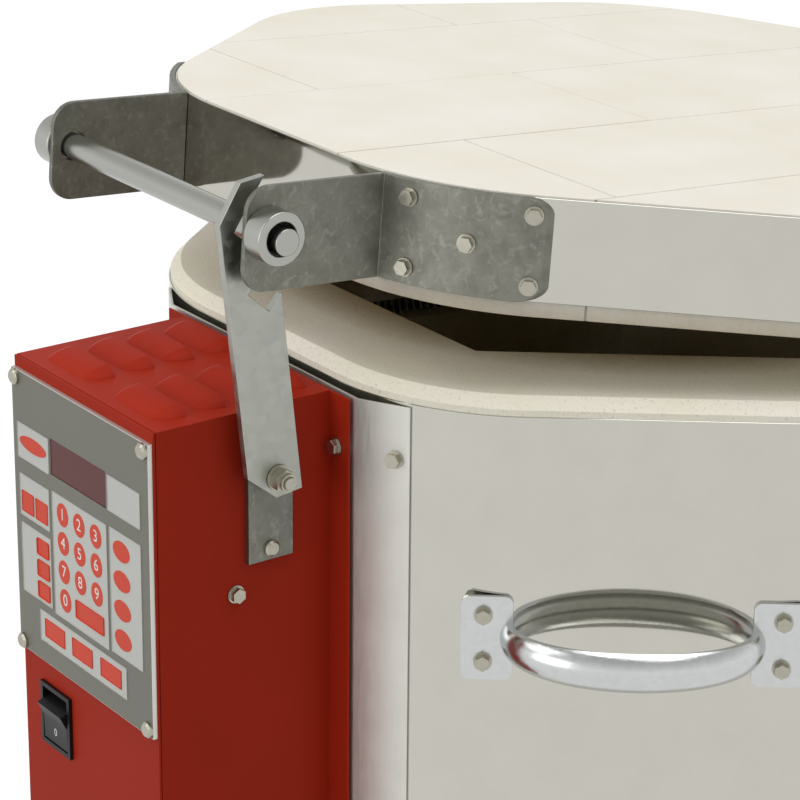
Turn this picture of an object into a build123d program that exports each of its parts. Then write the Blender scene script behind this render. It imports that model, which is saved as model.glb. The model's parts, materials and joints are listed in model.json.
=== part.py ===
from build123d import *
import math
import os

# Small top-loading kiln: seven-sided firebrick body in a stainless jacket, brick lid
# propped open on a notched arm, and a red control box. Millimetres, +Z up, control box on -Y.
# Everything is laid out round the chamber axis with Z = 0 on top of the brick wall.

# Firebricks
sides = 7
brick_length = 228.6
brick_width = 114.3
wall = 63.5
courses = 3
corner_radius = 117.0
rim_bevel = 5.5
floor_thickness = 63.5

# Element grooves, two in each course
groove_depth = 15.0
groove_height = 13.0
groove_inset = 29.0
element_radius = 5.0
lead_radius = 2.5
lead_spread = 36.0
lead_reach = 79.0
connector_radius = 5.0
connector_length = 16.0

# Jacket and sheet metal
jacket_sheet = 0.8
jacket_gap = 0.1
jacket_drop = 8.5
lead_window = 60.0
lead_window_margin = 14.0

# Thermocouple
probe_radius = 3.5
probe_tip = 24.0
probe_stand_off = 6.0
probe_head_width = 18.0
probe_head_depth = 12.0
probe_head_height = 28.0

# Lid
lid_thickness = 57.5
lid_seat_gap = 0.3
lid_prop_angle = 4.3
band_height = 49.0
band_drop = 1.0
lid_row_start = -64.9
lid_seam_shifts = {-2: 0.031, -1: 0.2625, 0: -0.1907, 1: 0.2865, 2: -0.1907}

# Stand
stand_height = 200.0
stand_sheet = 3.0
stand_shelf = 40.0
stand_skirt = 32.0
leg_width = 34.0
leg_gap = 4.0
foot_height = 12.0
foot_wall = 3.0

# Mounting plate on the jacket
plate_edge = 2.5
plate_stand_off = 3.0
plate_sheet = 1.2
plate_top = -10.1
wing_length = 27.5
wing_gap = 0.2

# Control box
box_half_width = 64.3
box_depth = 97.8
box_overhang = 1.7
box_top = -10.6
box_sheet = 1.2
box_seam = 0.3
flange_width = 15.3
flange_screw_inset = 9.3
screw_end_distance = 26.5
side_screw_inset = 43.65
side_screw_drop = 91.2
box_stand_off = 2.1
spacer_radius = 6.0
louvre_gap = 19.0
louvre_margin = 10.8
louvre_rise = 4.5
louvre_pitch = 22.2
louvre_rows = 4

# Control overlay, display and switch
overlay_edge = 0.8
overlay_height = 149.5
overlay_thickness = 2.5
overlay_drop = 5.4
overlay_screw_inset = 4.0
display_width = 52.6
display_height = 19.2
display_x = -1.3
display_z = -51.4
switch_x = -32.0
switch_drop = 12.8
switch_width = 28.3
switch_height = 33.4
switch_frame = 2.4
switch_rim = 2.0
switch_housing = 16.0
rocker_gap = 0.4
rocker_depth = 4.0
rocker_pin = 1.4
rocker_tilt = 10.0

# Inside the box
board_edge = 12.3
board_end = 6.75
board_stand_off = 12.0
board_thickness = 1.6
board_hole_inset = 5.0
spacer_post = 3.0
relay_length = 24.0
relay_width = 30.0
relay_height = 36.0
relay_drop = 24.5
relay_inset = 18.5
relay_pitch = 38.0
core_length = 38.0
core_width = 40.0
core_height = 34.0
core_drop = 16.5
core_inset = 21.5
coil_margin = 8.0
terminal_length = 55.0
terminal_width = 24.0
terminal_height = 18.0
terminal_hole = 3.5
terminal_pitch = 18.0
gland_radius = 8.0
gland_bore = 5.0
gland_x = 30.0
gland_inset = 43.55
gland_hex = 11.0
gland_flange = 6.0
gland_nut = 5.0
gland_thread = 16.0
gland_top = 8.0

# Prop arm on the side of the box
pivot_inset = 60.05
pivot_z = -42.0
bolt_radius = 4.0
bolt_fit = 0.1
strap_sheet = 3.0
strap_width = 25.0
strap_top = -24.0
strap_length = 63.5
strap_shift = 2.0
strap_screw_inset = 6.0
arm_sheet = 4.0
arm_lean = 6.4
arm_front = 16.2
arm_back = 12.7
arm_top = 147.7
arm_bottom = 10.0
notch_angle = 42.6
notch_width = 15.4
notch_flare = 6.9
lower_notch_v = 88.3
chamfer_top = (13.5, 17.0)
chamfer_foot = 14.3
spacer_length = 4.9
running_gap = 0.3
bolt_hex = 6.5
bolt_head = 5.3
bolt_stick_out = 11.0
washer_radius = 8.0
washer_sheet = 1.6
nut_height = 5.5
nut_dome_radius = 5.6
nut_dome = 2.4

# Lid brackets, handle rod and hinge
bracket_sheet = 3.0
bracket_height = 49.5
bracket_lift = 7.8
bracket_clearance = 8.0
bracket_root = 5.0
front_bracket_reach = 74.0
front_bracket_wrap = 52.2
bracket_corner = 12.0
plate_corner = 8.5
bracket_screw_angles = (21.2, 49.5)
bracket_screw_rise = 16.6
rod_radius = 7.0
rod_reach = 62.05
rod_rise = 27.2
rod_overhang = 21.0
collar_radius = 14.0
collar_length = 15.3
hinge_reach = 78.52
hinge_z = -6.0
hinge_arm_x = 58.0
hinge_wrap = 52.0
ear_x = 49.0
ear_height = 56.0
pin_radius = 6.0
pin_fit = 0.1
pin_overhang = 14.0
pin_collar_radius = 11.0
pin_collar_length = 10.0
hinge_eye = 13.0
hinge_root = 4.0
hinge_screw_edge = 11.0

# Body handles
handle_shift = 6.5
handle_span = 113.0
handle_rise = 35.5
handle_height = 20.0
handle_neck = 14.6
handle_sheet = 2.0
handle_bulge = 6.2
handle_foot = 24.5
handle_foot_height = 43.0
handle_foot_corner = 4.0
handle_z = -120.0
handle_screw_inset = 10.5
handle_screw_pitch = 24.0

# Fasteners
hex_size = 6.6
hex_height = 4.0
hex_flange = 4.5
pan_radius = 4.0
pan_height = 2.4

# Worked-out sizes
turn = 360.0 / sides
half_turn = math.radians(turn / 2)
brick_apothem = brick_length / 2 / math.tan(half_turn)
chamber_apothem = brick_apothem - wall
course_height = brick_width
body_bottom = -courses * course_height - floor_thickness
jacket_apothem = brick_apothem + jacket_gap + jacket_sheet
jacket_bottom = body_bottom
shell_corner = corner_radius + jacket_gap + jacket_sheet
pan_bottom = body_bottom - 1.0
ground = body_bottom - stand_height
leg_outer = (jacket_apothem - stand_sheet - leg_gap) / math.sqrt(2)
leg_inner = leg_outer - leg_width
plate_front = jacket_apothem + plate_stand_off + plate_sheet
flange_back = plate_front + box_stand_off
flange_front = flange_back + box_sheet
box_front = flange_front + box_depth
box_bottom = -courses * course_height - box_overhang
inner_wall = box_half_width - box_sheet
flange_half_width = box_half_width + flange_width
plate_half_width = flange_half_width + plate_edge
louvre_length = box_half_width - louvre_margin - louvre_gap / 2
louvre_column = (louvre_gap + louvre_length) / 2
overlay_width = 2 * (box_half_width - overlay_edge)
overlay_z = box_top - overlay_drop - overlay_height / 2
overlay_face = -box_front - overlay_thickness
switch_z = overlay_z - overlay_height / 2 - switch_drop - switch_height / 2
gland_y = -box_front + gland_inset
pivot_y = -box_front + pivot_inset
strap_centre_y = pivot_y + strap_shift
lid_top = lid_seat_gap + lid_thickness
band_top = lid_top - band_drop
band_bottom = band_top - band_height
strap_face = box_half_width + strap_sheet
arm_x = strap_face + spacer_length + running_gap
bracket_back = jacket_apothem + jacket_gap
bracket_face = bracket_back + bracket_sheet
bracket_top = bracket_lift + bracket_height
front_bracket_x = arm_x + arm_sheet + bracket_clearance
rod_y = -bracket_back - rod_reach
rod_z = bracket_lift + rod_rise
hinge_y = (brick_apothem - corner_radius) / math.cos(half_turn) + shell_corner + hinge_reach
groove_levels = [
    -course_height * c - z for c in range(courses) for z in (groove_inset, course_height - groove_inset)
]
element_ring = chamber_apothem + groove_depth - element_radius - 1.0

nodes = {}


def group(shapes):
    """Several solids kept apart in one node."""
    return Compound([solid for shape in shapes for solid in shape.solids()])


def outline(apothem, radius=0.0):
    """Seven-sided outline with its first flat on -Y and its corners rounded."""
    face = RegularPolygon(apothem, sides, major_radius=False, rotation=-90 - turn / 2)
    return fillet(face.vertices(), radius) if radius else face


def prism(apothem, radius, bottom, top):
    return extrude(Pos(0, 0, bottom) * outline(apothem, radius), amount=top - bottom)


def shell(apothem, sheet, radius, bottom, top):
    """Upright sheet wrapped round the rounded outline, its outer face at the apothem."""
    outer = outline(apothem, radius)
    ring = outer - outline(apothem - sheet, radius - sheet)
    return extrude(Pos(0, 0, bottom) * ring, amount=top - bottom)


def block(x, y, z):
    """Box between pairs of limits."""
    size = [abs(b - a) for a, b in (x, y, z)]
    centre = [(a + b) / 2 for a, b in (x, y, z)]
    return Pos(*centre) * Box(*size)


def rod_along(axis, radius, start, length):
    """Round bar from a start point along an axis."""
    return Plane(origin=start, z_dir=axis) * Cylinder(
        radius, length, align=(Align.CENTER, Align.CENTER, Align.MIN)
    )


def hex_head(at, axis):
    """Flanged hex screw head on a face."""
    face = Plane(origin=at, z_dir=axis)
    flange = Cylinder(hex_flange, 1.0, align=(Align.CENTER, Align.CENTER, Align.MIN))
    head = extrude(RegularPolygon(hex_size / 2, 6, major_radius=False), amount=hex_height)
    return face * (flange + head)


def pan_head(at, axis):
    """Pan screw head on a face."""
    head = Cylinder(pan_radius, pan_height, align=(Align.CENTER, Align.CENTER, Align.MIN))
    return Plane(origin=at, z_dir=axis) * chamfer(head.edges().group_by(Axis.Z)[-1], pan_height * 0.4)


def mirrored(shape):
    return mirror(shape, about=Plane.YZ)


def propped(shape):
    """A lid piece, drawn closed, turned about the hinge to where the arm holds it."""
    return shape.rotate(Axis((0, hinge_y, hinge_z), (1, 0, 0)), -lid_prop_angle)


def propped_point(y, z):
    a = math.radians(lid_prop_angle)
    y, z = y - hinge_y, z - hinge_z
    return hinge_y + y * math.cos(a) + z * math.sin(a), hinge_z - y * math.sin(a) + z * math.cos(a)


def on_corner(angle, apothem):
    """Point and outward direction on the rounded corner right of the front flat."""
    radius = apothem - brick_apothem + corner_radius
    reach = (brick_apothem - corner_radius) / math.cos(half_turn)
    out = (math.sin(math.radians(angle)), -math.cos(math.radians(angle)), 0)
    x = reach * math.sin(half_turn) + radius * out[0]
    y = -reach * math.cos(half_turn) + radius * out[1]
    return (x, y), out


# Brick courses: seven mitred bricks each, grooved inside for the elements
def wedge():
    far = brick_length * 2
    side = far * math.tan(half_turn)
    return Polygon((0, 0), (side, -far), (-side, -far), align=None)


def rim():
    """Body outline with its top outer edge worn to a bevel."""
    straight = prism(brick_apothem, corner_radius, body_bottom, -rim_bevel)
    cap = extrude(Pos(0, 0, -rim_bevel) * outline(brick_apothem, corner_radius), amount=rim_bevel, taper=45)
    return straight + cap


def lead_holes():
    """Holes through the front bricks for the element leads and the thermocouple."""
    holes = [
        rod_along((0, 1, 0), lead_radius + 0.6, (side * lead_spread / 2, -brick_apothem - 5, z), wall + 10)
        for z in groove_levels
        for side in (-1, 1)
    ]
    probe_z = -course_height * courses / 2
    holes.append(rod_along((0, 1, 0), probe_radius + 0.5, (0, -brick_apothem - 5, probe_z), wall + 10))
    return holes


def brick_course(level):
    top = -level * course_height
    section = (outline(brick_apothem, corner_radius) - outline(chamber_apothem)) & wedge()
    brick = extrude(Pos(0, 0, top - course_height) * section, amount=course_height)
    if level == 0:
        brick = brick & rim()
    for z in (top - groove_inset, top - course_height + groove_inset):
        half = groove_height / 2
        brick -= prism(chamber_apothem + groove_depth, 0, z - half, z + half)
    front = brick
    for hole in lead_holes():
        front = front - hole
    return group([front] + [Rot(0, 0, turn * k) * brick for k in range(1, sides)])


for level, name in enumerate(("top", "middle", "bottom")):
    nodes[f"course_{name}"] = brick_course(level)

nodes["floor_slab"] = prism(brick_apothem, corner_radius, body_bottom, body_bottom + floor_thickness)
nodes["floor_pan"] = prism(jacket_apothem, shell_corner, pan_bottom, body_bottom)


# Jacket with an opening behind the control box
def window(y, sheet):
    top = groove_levels[0] + lead_window_margin
    bottom = groove_levels[-1] - lead_window_margin
    half = lead_window / 2
    return block((-half, half), (y - sheet - 1, y + sheet + 1), (bottom, top))


jacket = shell(jacket_apothem, jacket_sheet, shell_corner, jacket_bottom, -jacket_drop)
nodes["jacket"] = jacket - window(-jacket_apothem, jacket_sheet)


# Stand: a rolled angle ring on four angle legs
def stand_ring():
    top = pan_bottom
    shelf = prism(jacket_apothem, shell_corner, top - stand_sheet, top)
    shelf -= prism(jacket_apothem - stand_shelf, 0, top - stand_sheet, top)
    return shelf + shell(jacket_apothem, stand_sheet, shell_corner, top - stand_skirt, top)


def leg(sx, sy):
    top = pan_bottom - stand_sheet
    bottom = ground + foot_wall
    face = leg_outer - stand_sheet
    web = block((sx * face, sx * leg_outer), (sy * leg_inner, sy * leg_outer), (bottom, top))
    return web + block((sx * leg_inner, sx * leg_outer), (sy * face, sy * leg_outer), (bottom, top))


def foot(sx, sy):
    """Plastic cap over the end of a leg."""
    a = leg_inner - foot_wall
    b = leg_outer + foot_wall
    cap = block((sx * a, sx * b), (sy * a, sy * b), (ground, ground + foot_height))
    return cap - leg(sx, sy)


corners = [(sx, sy) for sx in (-1, 1) for sy in (-1, 1)]
nodes["stand_ring"] = stand_ring()
nodes["stand_legs"] = group([leg(*c) for c in corners])
nodes["stand_feet"] = group([foot(*c) for c in corners])


# Heating elements: a wound ring in each groove with two leads out through the front bricks
def element():
    """Seven mitred runs, the front one open between the two leads."""
    half_run = element_ring * math.tan(half_turn) + element_radius
    run = rod_along((1, 0, 0), element_radius, (-half_run, -element_ring, 0), 2 * half_run)
    run = run & extrude(wedge(), amount=2 * element_radius, both=True)
    body = run
    for k in range(1, sides):
        body = body + Rot(0, 0, turn * k) * run
    gap = lead_spread / 2 - element_radius
    body -= block((-gap, gap), (-element_ring - 9, -element_ring + 9), (-9, 9))
    for side in (-1, 1):
        body += rod_along((0, -1, 0), lead_radius, (side * lead_spread / 2, -element_ring, 0), lead_reach)
    return body


def connector(side, z):
    start = (side * lead_spread / 2, -element_ring - lead_reach + connector_length / 2, z)
    sleeve = rod_along((0, -1, 0), connector_radius, start, connector_length)
    return sleeve - rod_along((0, -1, 0), lead_radius + 0.1, start, connector_length / 2)


for number, z in enumerate(groove_levels, start=1):
    nodes[f"element_{number}"] = Pos(0, 0, z) * element()
nodes["element_connectors"] = group([connector(side, z) for z in groove_levels for side in (-1, 1)])


# Thermocouple: ceramic sheath through the middle front brick, head block in the box
def thermocouple():
    z = -course_height * courses / 2
    head_y = -flange_front - probe_stand_off
    tip = -chamber_apothem + probe_tip
    sheath = rod_along((0, 1, 0), probe_radius, (0, head_y, z), tip - head_y)
    head = Box(probe_head_width, probe_head_depth, probe_head_height)
    head = Pos(0, head_y - probe_head_depth / 2, z) * head
    return sheath + head


nodes["thermocouple"] = thermocouple()


# Mounting plate with its two swept-back wings
def wing_sweep():
    """Angle at which a wing of the set length just reaches the rounded jacket corner."""
    reach = (brick_apothem - corner_radius) / math.cos(half_turn)
    dx = reach * math.sin(half_turn) - plate_half_width
    dy = -reach * math.cos(half_turn) + plate_front - plate_sheet
    far = math.hypot(dx, dy)
    near = shell_corner + wing_gap
    bend = math.acos((wing_length**2 + far**2 - near**2) / (2 * wing_length * far))
    return math.atan2(dy, dx) - bend


def mounting_plate():
    a = wing_sweep()
    tip = (plate_half_width + wing_length * math.cos(a), -plate_front + wing_length * math.sin(a))
    bend = (plate_half_width, -plate_front)
    inner_bend = (bend[0] - plate_sheet * math.tan(a / 2), bend[1] + plate_sheet)
    inner_tip = (tip[0] - plate_sheet * math.sin(a), tip[1] + plate_sheet * math.cos(a))
    right = [bend, tip, inner_tip, inner_bend]
    left = [(-x, y) for x, y in reversed(right)]
    section = Polygon(*right, *left, align=None)
    plate = extrude(Pos(0, 0, box_bottom) * section, amount=plate_top - box_bottom)
    return plate - window(-plate_front, plate_sheet)


def wing_screw(side, z):
    a = wing_sweep()
    run = wing_length * 0.72
    at = (side * (plate_half_width + run * math.cos(a)), -plate_front + run * math.sin(a), z)
    return hex_head(at, (side * math.sin(a), -math.cos(a), 0))


screw_heights = (box_top - screw_end_distance, box_bottom + screw_end_distance)
nodes["mounting_plate"] = mounting_plate()
nodes["wing_screws"] = group([wing_screw(side, z) for side in (-1, 1) for z in screw_heights])


# Control box: back plate, folded shell with louvres, and front panel
def louvre(x, y):
    """Half-round hood pressed up from the top sheet, open towards the kiln."""
    half = louvre_length / 2
    hood = Pos(x, y, box_top) * Rot(0, 90, 0) * Cylinder(louvre_rise, louvre_length)
    hollow = Rot(0, 90, 0) * Cylinder(louvre_rise - box_sheet, louvre_length - 2 * box_sheet)
    hollow = Pos(x, y, box_top) * hollow
    front = block(
        (x - half, x + half), (y - louvre_rise, y + box_sheet), (box_top - box_sheet, box_top + louvre_rise)
    )
    return hood & front, hollow


def box_shell():
    y0 = -box_front + box_sheet + box_seam
    y1 = -flange_front
    outer = block((-box_half_width, box_half_width), (y0, y1), (box_bottom, box_top))
    half = box_half_width - box_sheet
    body = outer - block((-half, half), (y0 - 1, y1 + 1), (box_bottom + box_sheet, box_top - box_sheet))
    first = y0 + louvre_pitch
    for row in range(louvre_rows):
        for x in (-louvre_column, louvre_column):
            hood, hollow = louvre(x, first + row * louvre_pitch - louvre_rise)
            body = body + hood
            body = body - hollow
    body -= rod_along((1, 0, 0), bolt_radius + bolt_fit, (box_half_width - 5, pivot_y, pivot_z), 10)
    body -= rod_along((0, 0, -1), gland_radius + 0.1, (gland_x, gland_y, box_bottom + 10), 20)
    return body


box_back = block(
    (-flange_half_width, flange_half_width), (-flange_front, -flange_back), (box_bottom, box_top)
)
nodes["box_back"] = box_back - window(-flange_front, plate_sheet)
nodes["box_shell"] = box_shell()
panel_limits = (
    (-box_half_width, box_half_width), (-box_front, -box_front + box_sheet), (box_bottom, box_top)
)


def switch_opening(margin):
    half_x = switch_width / 2 - switch_frame + margin
    half_z = switch_height / 2 - switch_frame + margin
    return block(
        (switch_x - half_x, switch_x + half_x),
        (-box_front - 10, -box_front + 40),
        (switch_z - half_z, switch_z + half_z),
    )


nodes["front_panel"] = block(*panel_limits) - switch_opening(1.0)


def flange_point(side, z):
    return side * (flange_half_width - flange_screw_inset), z


def box_spacer(side, z):
    x, z = flange_point(side, z)
    return rod_along((0, -1, 0), spacer_radius, (x, -plate_front, z), box_stand_off)


def box_screw(side, z):
    x, z = flange_point(side, z)
    return hex_head((x, -flange_front, z), (0, -1, 0))


flange_points = [(side, z) for side in (-1, 1) for z in screw_heights]
nodes["box_spacers"] = group([box_spacer(*p) for p in flange_points])
side_screw = hex_head((box_half_width, -box_front + side_screw_inset, box_top - side_screw_drop), (1, 0, 0))
nodes["box_screws"] = group([box_screw(*p) for p in flange_points] + [side_screw, mirrored(side_screw)])

# Control overlay with a sunk display window

def display_block(margin, y0, y1):
    half_x = display_width / 2 + margin
    half_z = display_height / 2 + margin
    return block((display_x - half_x, display_x + half_x), (y0, y1), (display_z - half_z, display_z + half_z))


overlay = block(
    (-overlay_width / 2, overlay_width / 2),
    (overlay_face, -box_front),
    (overlay_z - overlay_height / 2, overlay_z + overlay_height / 2),
)
nodes["control_overlay"] = overlay - display_block(0, overlay_face - 1, -box_front + 1)
nodes["display_window"] = display_block(-0.1, overlay_face + 0.4, -box_front)


def overlay_screw(sx, sz):
    x = sx * (overlay_width / 2 - overlay_screw_inset)
    z = overlay_z + sz * (overlay_height / 2 - overlay_screw_inset)
    return pan_head((x, overlay_face, z), (0, -1, 0))


nodes["overlay_screws"] = group([overlay_screw(*c) for c in corners])


# Power switch: framed housing through the panel, with a rocker on a cross pivot
def switch_bezel():
    half_x = switch_width / 2
    half_z = switch_height / 2
    frame = block(
        (switch_x - half_x, switch_x + half_x),
        (-box_front - switch_rim, -box_front),
        (switch_z - half_z, switch_z + half_z),
    )
    back = -box_front + switch_housing
    inner_x = half_x - switch_frame + 0.9
    inner_z = half_z - switch_frame + 0.9
    housing = block(
        (switch_x - inner_x, switch_x + inner_x), (-box_front, back), (switch_z - inner_z, switch_z + inner_z)
    )
    hollow = switch_opening(0) & block(
        (-99, 99), (-box_front - 10, back - 1.2), (switch_z - 50, switch_z + 50)
    )
    pivot_start = (switch_x - half_x, -box_front + rocker_depth, switch_z)
    pivot = rod_along((1, 0, 0), rocker_pin + 0.1, pivot_start, 2 * half_x)
    return frame + housing - hollow - pivot


def switch_rocker():
    """Rocker with two faces meeting in a shallow valley, off side down."""
    half_z = switch_height / 2 - switch_frame - rocker_gap
    reach = half_z - 1.6
    face = Polygon(
        (-8.0, reach), (-6.0, 0), (-8.0, -reach), (2.0, -reach + 2.5), (2.0, reach - 2.5), align=None
    )
    key = extrude(Plane.YZ * face, amount=switch_width / 2 - switch_frame - rocker_gap, both=True)
    pin_reach = switch_width / 2 - switch_frame + 0.6
    key += rod_along((1, 0, 0), rocker_pin, (-pin_reach, 0, 0), 2 * pin_reach)
    key = Rot(rocker_tilt, 0, 0) * key
    return Pos(switch_x, -box_front + rocker_depth, switch_z) * key


nodes["switch_bezel"] = switch_bezel()
nodes["switch_rocker"] = switch_rocker()

# Inside the box: controller board, relays, transformer, terminal block and cord gland
board_x = box_half_width - board_edge
board_z = overlay_height / 2 - board_end
board_back = -box_front + box_sheet + board_stand_off
board_front = board_back + board_thickness


def controller_board():
    """Board with the display's housing in front and three components behind."""
    board_height = (overlay_z - board_z, overlay_z + board_z)
    board = block((-board_x, board_x), (board_back, board_front), board_height)
    housing_x = display_width * 0.4
    housing_z = display_height * 0.47
    housing_y = board_back - board_stand_off * 0.75
    board += block(
        (display_x - housing_x, display_x + housing_x),
        (housing_y, board_back),
        (display_z - housing_z, display_z + housing_z),
    )
    low = overlay_z - board_z
    for x, width, rise, height, depth in (
        (-0.6, 0.35, 0.2, 0.18, 10.4), (0.05, 0.35, 0.5, 0.13, 3.4), (0.67, 0.35, 0.2, 0.3, 12.4)
    ):
        x0 = (x - width / 2) * board_x
        z0 = low + (rise - height / 2) * 2 * board_z
        board += block(
            (x0, x0 + width * board_x), (board_front, board_front + depth), (z0, z0 + height * 2 * board_z)
        )
    return board


def board_spacer(sx, sz):
    x = sx * (board_x - board_hole_inset)
    z = overlay_z + sz * (board_z - board_hole_inset)
    return rod_along((0, 1, 0), spacer_post, (x, -box_front + box_sheet, z), board_stand_off)


def relay(number):
    y = -box_front + relay_inset + number * relay_pitch
    top = overlay_z - overlay_height / 2 - relay_drop
    return block((-inner_wall, -inner_wall + relay_length), (y, y + relay_width), (top - relay_height, top))


def transformer():
    """Laminated core against the side wall, its coil standing out on both faces."""
    y = -box_front + core_inset
    top = overlay_z - overlay_height / 2 - core_drop
    core = block((inner_wall - core_length, inner_wall), (y, y + core_width), (top - core_height, top))
    coil = block(
        (inner_wall - core_length + coil_margin, inner_wall - coil_margin),
        (y - coil_margin, y + core_width + coil_margin),
        (top - core_height + coil_margin, top - coil_margin),
    )
    return core + coil


def terminal_block():
    """Block on the box floor with three wire wells."""
    floor = box_bottom + box_sheet
    top = floor + terminal_height
    right = gland_x - gland_hex * 2.2
    body = block(
        (right - terminal_length, right),
        (gland_y - terminal_width / 2, gland_y + terminal_width / 2),
        (floor, top),
    )
    for number in range(3):
        x = right - terminal_length / 2 + (number - 1) * terminal_pitch
        body -= rod_along((0, 0, -1), terminal_hole, (x, gland_y, top), terminal_height / 2)
    return body


def cord_gland():
    """Threaded sleeve with a hex flange below the box and a nut inside."""
    floor = box_bottom + box_sheet
    hexagon = RegularPolygon(gland_hex, 6, major_radius=False)
    sleeve_top = (gland_x, gland_y, floor + gland_top)
    sleeve = rod_along((0, 0, -1), gland_radius, sleeve_top, gland_top + box_sheet + gland_thread)
    flange = Pos(gland_x, gland_y, box_bottom - gland_flange) * extrude(hexagon, amount=gland_flange)
    nut = Pos(gland_x, gland_y, floor) * extrude(hexagon, amount=gland_nut)
    bore_top = (gland_x, gland_y, floor + gland_top + 1)
    bore = rod_along((0, 0, -1), gland_bore, bore_top, 2 * (gland_top + gland_thread))
    return sleeve + flange + nut - bore


nodes["controller_board"] = controller_board()
nodes["board_spacers"] = group([board_spacer(*c) for c in corners])
nodes["relays"] = group([relay(number) for number in range(2)])
nodes["transformer"] = transformer()
nodes["terminal_block"] = terminal_block()
nodes["cord_gland"] = cord_gland()

# Prop arm: strap on the box side, pivot bolt, notched arm
strap = block(
    (box_half_width, strap_face),
    (strap_centre_y - strap_width / 2, strap_centre_y + strap_width / 2),
    (strap_top - strap_length, strap_top),
)
nodes["prop_strap"] = strap - rod_along(
    (1, 0, 0), bolt_radius + bolt_fit, (box_half_width - 1, pivot_y, pivot_z), 9
)
strap_ends = (strap_top - strap_screw_inset, strap_top - strap_length + strap_screw_inset)
strap_screws = [pan_head((strap_face, strap_centre_y, z), (1, 0, 0)) for z in strap_ends]
nodes["strap_screws"] = group(strap_screws)

rod_rest_y, rod_rest_z = propped_point(rod_y, rod_z)


def arm_plane(x):
    lean = math.radians(arm_lean)
    return Plane(origin=(x, pivot_y, pivot_z), x_dir=(0, math.cos(lean), math.sin(lean)), z_dir=(1, 0, 0))


def arm_point(y, z):
    """A point of the side view in the arm's own leaning axes."""
    lean = math.radians(arm_lean)
    dy, dz = y - pivot_y, z - pivot_z
    return dy * math.cos(lean) + dz * math.sin(lean), dz * math.cos(lean) - dy * math.sin(lean)


def prop_arm():
    plate = Polygon(
        (-arm_front, chamfer_foot - arm_bottom),
        (-arm_front + chamfer_foot, -arm_bottom),
        (arm_back, -arm_bottom),
        (arm_back, arm_top),
        (-arm_front + chamfer_top[0], arm_top),
        (-arm_front, arm_top - chamfer_top[1]),
        align=None,
    )
    a = math.radians(notch_angle)
    along = (math.cos(a), math.sin(a))
    across = (-along[1], along[0])
    half = notch_width / 2
    far = arm_top
    u, v = 0.0, lower_notch_v
    lower = [
        (u + across[0] * half, v + across[1] * half),
        (u - across[0] * half, v - across[1] * half),
        (u - across[0] * half + along[0] * far, v - across[1] * half + along[1] * far),
        (u + across[0] * half + along[0] * far, v + across[1] * half + along[1] * far),
    ]
    u, v = arm_point(rod_rest_y, rod_rest_z)
    u -= along[0] * (rod_radius + running_gap)
    v -= along[1] * (rod_radius + running_gap)
    b = a + math.radians(notch_flare)
    upper = [
        (u + across[0] * half, v + across[1] * half),
        (u - across[0] * half, v - across[1] * half),
        (u - across[0] * half + along[0] * far, v - across[1] * half + along[1] * far),
        (u + across[0] * half + math.cos(b) * far, v + across[1] * half + math.sin(b) * far),
    ]
    plate -= Polygon(*lower, align=None)
    plate -= Polygon(*upper, align=None)
    plate -= Circle(bolt_radius + bolt_fit)
    return extrude(arm_plane(arm_x) * plate, amount=arm_sheet)


nodes["prop_arm"] = prop_arm()
bolt_end = arm_x + arm_sheet + running_gap + bolt_stick_out
shank = rod_along((1, 0, 0), bolt_radius, (inner_wall, pivot_y, pivot_z), bolt_end - inner_wall)
bolt_plane = Plane(origin=(inner_wall, pivot_y, pivot_z), z_dir=(-1, 0, 0))
bolt_outline = RegularPolygon(bolt_hex, 6, major_radius=False)
nodes["pivot_bolt"] = shank + bolt_plane * extrude(bolt_outline, amount=bolt_head)


def on_bolt(profile, x, length):
    plane = Plane(origin=(x, pivot_y, pivot_z), z_dir=(1, 0, 0))
    return extrude(plane * (profile - Circle(bolt_radius + bolt_fit)), amount=length)


washer_x = arm_x + arm_sheet + running_gap
nut_x = washer_x + washer_sheet
nut = on_bolt(RegularPolygon(bolt_hex, 6, major_radius=False), nut_x, nut_height)
nut += on_bolt(Circle(nut_dome_radius), nut_x + nut_height, nut_dome)
spacer = on_bolt(Circle(washer_radius), strap_face, spacer_length)
washer = on_bolt(Circle(washer_radius), washer_x, washer_sheet)
nodes["pivot_hardware"] = group([spacer, washer, nut])


# Body handles: pressed hollow grips on the facets beside the box
def handle():
    """Two rounded feet joined by a bowed channel, widest at its middle."""
    back = -jacket_apothem
    left = -handle_shift - handle_span / 2
    right = left + handle_span
    ends = (handle_z - handle_foot_height / 2, handle_z + handle_foot_height / 2)
    feet = [
        block(limits, (back - handle_sheet, back), ends)
        for limits in ((left - handle_foot, left), (right, right + handle_foot))
    ]
    feet = [fillet(foot.edges().filter_by(Axis.Y), handle_foot_corner) for foot in feet]
    middle = (-handle_shift, back, handle_z)
    path = Plane(origin=middle, z_dir=(0, 0, 1)) * EllipticalCenterArc(
        (0, 0), handle_span / 2, handle_rise, start_angle=180, arc_size=180
    )
    half = handle_height / 2
    radius = (half**2 + handle_bulge**2) / (2 * handle_bulge)
    channel = Pos(0, handle_bulge - radius) * (Circle(radius) - Circle(radius - handle_sheet))
    channel &= Pos(0, radius) * Rectangle(4 * radius, 2 * radius)
    grip = sweep(Plane(origin=path @ 0, x_dir=(0, 0, 1), z_dir=path % 0) * channel, path)
    reach = handle_span / 2 + handle_bulge
    flank = reach**2 / (handle_height - handle_neck)
    lens = Pos(0, half - flank) * Circle(flank) & Pos(0, flank - half) * Circle(flank)
    taper = extrude(Plane(origin=middle, x_dir=(1, 0, 0), z_dir=(0, -1, 0)) * lens, amount=2 * handle_rise)
    return feet[0] + feet[1] + (grip & taper)


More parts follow.
